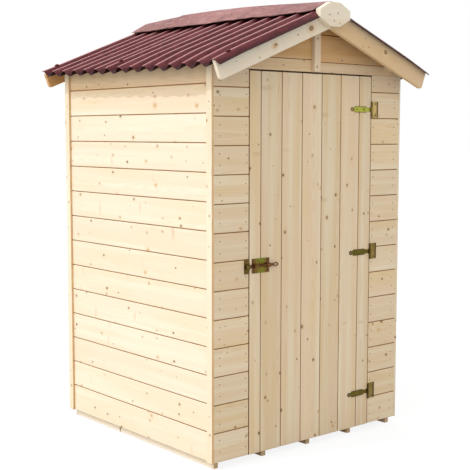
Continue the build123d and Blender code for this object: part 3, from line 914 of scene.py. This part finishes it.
def skinned(piece, thick):
    # Gives a surface its thickness, with crisp rims and a dark underside that is partly painted shade
    piece.data.materials.append(underside)
    skin = piece.modifiers.new("skin", "SOLIDIFY")
    skin.thickness = thick
    skin.offset = 0
    skin.material_offset = 1
    applyModifiers(piece)
    piece.data.set_sharp_from_angle(angle=math.radians(roofSheet["crisp"]))


def sheetPiece(name, node, side, lift, seed):
    # The waves are counted from a crest near the front
    low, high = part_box(node)
    settings = {
        "Length": (roofSheet["eave"] - roofSheet["gap"]) / math.cos(slope), "Width": high.y - low.y,
        "Wave Length": roofSheet["wave"], "Wave Height": roofSheet["high"],
        "Phase": low.y + roofSheet["frontWaves"] * roofSheet["wave"],
        "Per Wave": roofSheet["perWave"], "Rows": roofSheet["down"], "Unevenness": roofSheet["sag"],
        "Seed": float(seed),
    }
    piece = runTree(corrugated, name, settings, bitumen)
    along, normal = slopeWay(side), slopeNormal(side)
    origin = Vector((0, low.y, roofApex)) + along * (roofSheet["gap"] / math.cos(slope))
    origin += normal * (roofSheet["middle"] + lift)
    turn = Matrix((along, yAxis, normal)).transposed().to_4x4()
    piece.data.transform(Matrix.Translation(origin) @ turn)
    if side < 0:
        piece.data.flip_normals()
    for vert in piece.data.vertices:
        vert.co.z += sheetBend(vert.co.x, vert.co.y)
    notchRoundCap(piece.data)
    skinned(piece, roofSheet["thick"])
    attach(piece, "shed")
    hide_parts(node)


for name, side, frontSeed, backSeed in (("left", -1, 3, 8), ("right", 1, 4, 9)):
    sheetPiece(f"{name}FrontSheet", f"roof_sheet_{name}_front", side, roofSheet["lap"], frontSeed)
    sheetPiece(f"{name}BackSheet", f"roof_sheet_{name}_back", side, 0.0, backSeed)
print("roof sheets laid")


# "line" is the height of the fold along the roof, and "edge" that of the two edges. "waves" are the height of
# each wave in the felt, and how fast it goes along and across the roof
ridgeFelt = {
    "half": 0.115, "fold": 0.16, "thick": 0.003, "lap": 0.0036, "across": 44, "along": 150, "ripple": 0.0015,
    "edge": [(-0.73, 1.9975), (-0.40, 1.9995), (0.0, 2.0030), (0.45, 2.0030), (0.73, 1.9980)],
    "line": [(-0.72, 2.0440), (-0.584, 2.0515), (-0.32, 2.0660), (-0.035, 2.0770), (0.27, 2.0800),
             (0.46, 2.0765), (0.72, 2.0620)],
    "lineSpread": 0.12, "waves": ((0.0014, 11, 0), (0.0009, 27, 11)), "rise": 0.0012, "seed": 5,
}


def feltHeight(x, y):
    # A soft fold over the ridge, with edges that dip a little into the troughs
    share, fold = abs(x) / ridgeFelt["half"], ridgeFelt["fold"]
    fall = (math.hypot(share, fold) - fold) / (math.hypot(1, fold) - fold)
    edge = between(ridgeFelt["edge"], y) + rearLift(y)
    line = between(ridgeFelt["line"], y, ridgeFelt["lineSpread"])
    trough = 0.5 - 0.5 * math.cos(2 * math.pi * y / roofSheet["wave"])
    return line * (1 - fall) + edge * fall - ridgeFelt["ripple"] * trough * share ** 3


def feltPiece(name, node, lift):
    low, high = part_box(node)
    chance = random.Random(ridgeFelt["seed"])
    phases = [chance.uniform(0, 6.28) for _ in ridgeFelt["waves"]]
    points, faces = [], []
    columns, rows = ridgeFelt["across"], int(ridgeFelt["along"] * (high.y - low.y))
    for row in range(rows + 1):
        y = low.y + (high.y - low.y) * row / rows
        for column in range(columns + 1):
            x = ridgeFelt["half"] * (2 * column / columns - 1)
            share = abs(x) / ridgeFelt["half"]
            wave = sum(rise * math.sin(along * y + across * x + phase)
                       for (rise, along, across), phase in zip(ridgeFelt["waves"], phases))
            z = feltHeight(x, y) + (wave + ridgeFelt["rise"]) * share ** 0.5
            points.append((x, y, z + lift + ridgeFelt["thick"] / 2))
    for row in range(rows):
        for column in range(columns):
            a = row * (columns + 1) + column
            faces.append((a, a + 1, a + columns + 2, a + columns + 1))
    mesh = bpy.data.meshes.new(name)
    mesh.from_pydata(points, [], faces)
    mesh.materials.append(felt)
    for face in mesh.polygons:
        face.use_smooth = True
    piece = addObject(name, mesh)
    skinned(piece, ridgeFelt["thick"])
    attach(piece, "shed")
    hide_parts(node)


feltPiece("ridgeFeltFront", "ridge_felt_front", ridgeFelt["lap"])
feltPiece("ridgeFeltBack", "ridge_felt_back", 0.0)
print("felt laid")


# Nails in the boards and trims. "shares" are their heights on a board, "strays" how far they lie from there as a
# share of the board and along it, and "barge" their x on the back's barge boards and how far under the roof they lie
nails = {
    "head": 0.0026, "dome": 0.0009, "fromCorner": 0.033, "fromDoor": 0.015, "shares": (0.36, 0.71),
    "strays": (0.06, 0.002), "trimHeights": (0.240, 0.984, 1.600), "barge": ((0.551, -0.022), (-0.251, -0.040)),
    "seed": 44,
}
# Cross-slot screws. "cap" is their places on a ridge cap from its middle, "king" their x and height on a king post
screws = {
    "head": 0.0036, "high": 0.0012, "slot": 0.0009, "sunk": 0.0004, "metal": 0.0025, "crisp": 35,
    "plateX": 0.4137, "plateRise": 0.027, "strapX": (0.3342, 0.2882),
    "boltX": (-0.361, -0.283), "keeperX": -0.4055, "boltZ": 0.883, "boltRise": 0.024,
    "cap": ((-0.037, -0.004), (0.015, 0.006), (-0.008, -0.029)), "king": ((0.003, 1.895), (0.001, 1.768)),
}
# Capped nails, on crests near the eaves
roofNails = {
    "left": (-0.6888, 0.0984, 0.6888), "right": (-0.5904, 0.0984, 0.5904), "x": 0.578,
    "cap": 0.0095, "rim": 0.0130, "high": 0.0065, "washer": 0.0025, "clear": 0.0004,
}


def placeTree(name, inputs, makeHead):
    # Sets one head on every point, turned to face outwards
    tree, given, output = newTree(name, {**inputs, "Facing": (0.0, 0.0, 1.0)})
    shape = addNode(tree, "GeometryNodeSetShadeSmooth", {"Geometry": makeHead(tree, given)}, domain="FACE").outputs[0]
    turn = addNode(tree, "FunctionNodeAlignRotationToVector", {"Vector": given["Facing"]}, axis="Z").outputs[0]
    closeTree(tree, instances(tree, given["Geometry"], shape, Rotation=turn), given["Material"], output)
    return tree


def dome(tree, given, segments, rings):
    sizes = {"Segments": segments, "Rings": rings, "Radius": given["Radius"]}
    ball = addNode(tree, "GeometryNodeMeshUVSphere", sizes).outputs["Mesh"]
    flat = combine(tree, 1.0, 1.0, calc(tree, "DIVIDE", given["Height"], given["Radius"]))
    return addNode(tree, "GeometryNodeTransform", {"Geometry": ball, "Scale": flat}).outputs[0]


def domedHead(tree, given):
    return dome(tree, given, 10, 6)


def crossHead(tree, given):
    # A low cylinder with a crossed slot cut into it
    radius, high = given["Radius"], given["Height"]
    sizes = {"Vertices": 20, "Radius": radius, "Depth": high}
    disc = addNode(tree, "GeometryNodeMeshCylinder", sizes).outputs["Mesh"]
    long = times(tree, radius, 1.2)
    cut = addNode(tree, "GeometryNodeMeshBoolean", {0: disc}, operation="DIFFERENCE")
    for size in (combine(tree, long, given["Slot"], high), combine(tree, given["Slot"], long, high)):
        bar = addNode(tree, "GeometryNodeMeshCube", {"Size": size}).outputs["Mesh"]
        tree.links.new(moved(tree, bar, combine(tree, z=times(tree, high, 0.5))), cut.inputs["Mesh 2"])
    return cut.outputs["Mesh"]


def cappedHead(tree, given):
    # A washer with a domed cap on it
    sizes = {
        "Vertices": 20, "Radius Top": times(tree, given["Rim"], 0.8), "Radius Bottom": given["Rim"],
        "Depth": roofNails["washer"],
    }
    washer = addNode(tree, "GeometryNodeMeshCone", sizes).outputs["Mesh"]
    both = tree.nodes.new("GeometryNodeJoinGeometry")
    for part in (washer, dome(tree, given, 20, 10)):
        tree.links.new(part, both.inputs[0])
    return both.outputs[0]


nailTree = placeTree("nailHeads", {"Radius": 0.002, "Height": 0.001}, domedHead)
screwTree = placeTree("screwHeads", {"Radius": 0.0036, "Height": 0.0012, "Slot": 0.0009}, crossHead)
cappedTree = placeTree("cappedNails", {"Radius": 0.011, "Height": 0.007, "Rim": 0.014}, cappedHead)


def setHeads(name, tree, body, points, facing, settings, material):
    piece = runTree(tree, name, {**settings, "Facing": tuple(facing)}, material, points)
    if tree == screwTree:
        piece.data.set_sharp_from_angle(angle=math.radians(screws["crisp"]))
    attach(piece, body)


def setNails(name, body, points, facing):
    settings = {"Radius": nails["head"], "Height": nails["dome"]}
    setHeads(name, nailTree, body, points, facing, settings, nailSteel)


def setScrews(name, body, points, facing):
    settings = {"Radius": screws["head"], "Height": screws["high"], "Slot": screws["slot"]}
    setHeads(name, screwTree, body, points, facing, settings, screwZinc)


def nailBoards():
    # Two nails at each end of every board of the front and the back
    chance = random.Random(nails["seed"])
    low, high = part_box("front_left_panel")
    corner, door = low.x + nails["fromCorner"], high.x - nails["fromDoor"]
    joints = [cladding["firstJoint"] + cladding["frontPitch"] * n for n in range(cladding["frontJoints"])]
    joints = [low.z, *joints, high.z]
    upStray, sideStray = nails["strays"]
    for name, facing, y, columns in (
        ("frontLeftNails", -yAxis, frontFace, (corner, door)),
        ("frontRightNails", -yAxis, frontFace, (-corner, -door)),
        ("backNails", yAxis, backFace, (corner, 0.0, -corner)),
    ):
        points = []
        for start, end in zip(joints, joints[1:]):
            for x in columns:
                for share in nails["shares"]:
                    z = start + (end - start) * (share + chance.uniform(-upStray, upStray))
                    points.append((x + chance.uniform(-sideStray, sideStray), y, z))
        setNails(name, "shed", points, facing)


def nailTrims():
    for name, side in (("left", -1), ("right", 1)):
        points = []
        for end in ("front", "back"):
            low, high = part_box(f"{end}_{name}_trim")
            face = low.x if side < 0 else high.x
            points += [(face, (low.y + high.y) / 2, z) for z in nails["trimHeights"]]
        setNails(name + "TrimNails", "shed", points, side * xAxis)


def fixRoofEnds():
    # Screws in the ridge caps and king posts, nails in the barge boards
    for end, facing in (("front", -1), ("back", 1)):
        outer = 0 if facing < 0 else 1
        cap, king, barge = (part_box(end + node) for node in ("_ridge_cap", "_king_post", "_left_barge"))
        middle, face = (cap[0] + cap[1]) / 2, cap[outer].y - facing * screws["sunk"]
        points = [(-facing * x, face, middle.z + z) for x, z in screws["cap"]]
        points += [(x, king[outer].y, z) for x, z in screws["king"]]
        setScrews(end + "RoofScrews", "shed", points, facing * yAxis)
        points = [(facing * x, barge[outer].y, roofHeight(x) + rise) for x, rise in nails["barge"]]
        setNails(end + "BargeNails", "shed", points, facing * yAxis)


def screwHinges():
    plate = frontFace - screws["metal"] - screws["high"] / 2
    for place in ("top", "middle", "bottom"):
        low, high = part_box("hinge_plate_" + place)
        z = (low.z + high.z) / 2
        points = [(screws["plateX"], plate, z + way * screws["plateRise"]) for way in (-1, 1)]
        setScrews(place + "PlateScrews", "shed", points, -yAxis)
        setScrews(place + "StrapScrews", "door", [(x, plate, z) for x in screws["strapX"]], -yAxis)
    rises = [screws["boltZ"] + way * screws["boltRise"] for way in (-1, 1)]
    setScrews("boltScrews", "door", [(x, plate, z) for x in screws["boltX"] for z in rises], -yAxis)
    setScrews("keeperScrews", "shed", [(screws["keeperX"], plate, z) for z in rises], -yAxis)


def nailSheets():
    settings = {"Radius": roofNails["cap"], "Height": roofNails["high"], "Rim": roofNails["rim"]}
    crest = roofSheet["middle"] + roofSheet["high"] + roofSheet["thick"] / 2
    for name, side in (("left", -1), ("right", 1)):
        normal, x = slopeNormal(side), roofNails["x"] * side
        points = []
        for y in roofNails[name]:
            rise = crest + (roofSheet["lap"] if y < roofSheet["lapEnd"] else 0) + roofNails["clear"]
            points.append(Vector((x, y, roofHeight(x) + sheetBend(x, y))) + normal * rise)
        setHeads(name + "RoofNails", cappedTree, "shed", points, normal, settings, bitumen)


nailBoards()
nailTrims()
fixRoofEnds()
screwHinges()
nailSheets()
print("nails and screws set")


def dressMetal():
    # Hinges and bolt keep their CAD shapes
    for name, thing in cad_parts.items():
        if name.startswith(("hinge", "bolt")):
            look = zincLooks.get(name) or zincLooks[name.rsplit("_", 1)[0]]
            low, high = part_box(name)
            dressed = zincMaterial(name.replace("_", "") + "Zinc", look, tuple((low + high) / 2))
            for slot in thing.material_slots:
                slot.material = dressed


dressMetal()
print("metal dressed")


# The world goes from "horizon" to "zenith", sizes are in degrees, and "floorLit" and "floorSeen" are what the
# floor is to the lamps and to the camera
light = {
    "horizon": 0.665, "zenith": 1.2825, "sun": 1.45, "sunFrom": (-0.57, 0.12, 0.87), "sunSize": 0.5,
    "sunColour": (0.92, 1.0, 1.14), "fill": 1.1, "fillFrom": (-0.9, -0.1, 0.42), "fillSize": 50,
    "fillColour": (1.0, 0.95, 0.90), "back": 0.4, "backFrom": (0.40, 0.76, 0.51), "backSize": 40,
    "floorLit": 0.5, "floorSeen": 0.95, "floorGlow": 0.88, "floorReach": 60,
}


def addSun(name, tint=(1, 1, 1)):
    lamp = addObject(name, bpy.data.lights.new(name, "SUN"))
    lamp.data.energy = light[name]
    lamp.data.color = tint
    lamp.data.angle = math.radians(light[name + "Size"])
    lamp.rotation_euler = Vector(light[name + "From"]).to_track_quat("Z", "Y").to_euler()


def seenDirectly(tree):
    # 1 for what the camera, glossy surfaces and glass see
    ray = tree.nodes.new("ShaderNodeLightPath").outputs
    glossy = calc(tree, "MAXIMUM", ray["Is Glossy Ray"], ray["Is Transmission Ray"])
    return calc(tree, "MAXIMUM", ray["Is Camera Ray"], glossy)


def lightWorld():
    # White where it is seen, and a soft sky that is brighter overhead for the light
    world = bpy.data.worlds.new("studio")
    bpy.context.scene.world = world
    world.use_nodes = True
    tree = world.node_tree
    seen = seenDirectly(tree)
    up = split(tree, addNode(tree, "ShaderNodeTexCoord").outputs["Generated"])["Z"]
    sky = ramp(tree, up, 0.0, 1.0, light["horizon"], light["zenith"], smooth=False)
    strength = plus(tree, times(tree, sky, minus(tree, 1.0, seen)), seen)
    setInputs(tree, tree.nodes["Background"], {"Color": (1, 1, 1, 1), "Strength": strength})


def layFloor():
    mesh = bpy.data.meshes.new("floor")
    far = light["floorReach"]
    mesh.from_pydata([(-far, -far, 0), (far, -far, 0), (far, far, 0), (-far, far, 0)], [], [(0, 1, 2, 3)])
    floor = addObject("floor", mesh)
    made, tree, shader = newMaterial("paleFloor")
    seen = seenDirectly(tree)
    lit, direct = ((light[key],) * 3 + (1,) for key in ("floorLit", "floorSeen"))
    setInputs(tree, shader, {
        "Base Color": mixColour(tree, seen, lit, direct), "Roughness": 0.9, "Specular IOR Level": 0.0,
    })
    glow = addNode(tree, "ShaderNodeEmission", {"Color": (1, 1, 1, 1), "Strength": 1.0}).outputs[0]
    share = times(tree, seen, light["floorGlow"])
    mixed = addNode(tree, "ShaderNodeMixShader", {0: share, 1: shader.outputs[0], 2: glow}).outputs[0]
    tree.links.new(mixed, tree.nodes["Material Output"].inputs["Surface"])
    mesh.materials.append(made)


bpy.context.scene.view_settings.view_transform = "Standard"
lightWorld()
addSun("sun", light["sunColour"])
addSun("fill", light["fillColour"])
addSun("back")
layFloor()
print("stage lit")
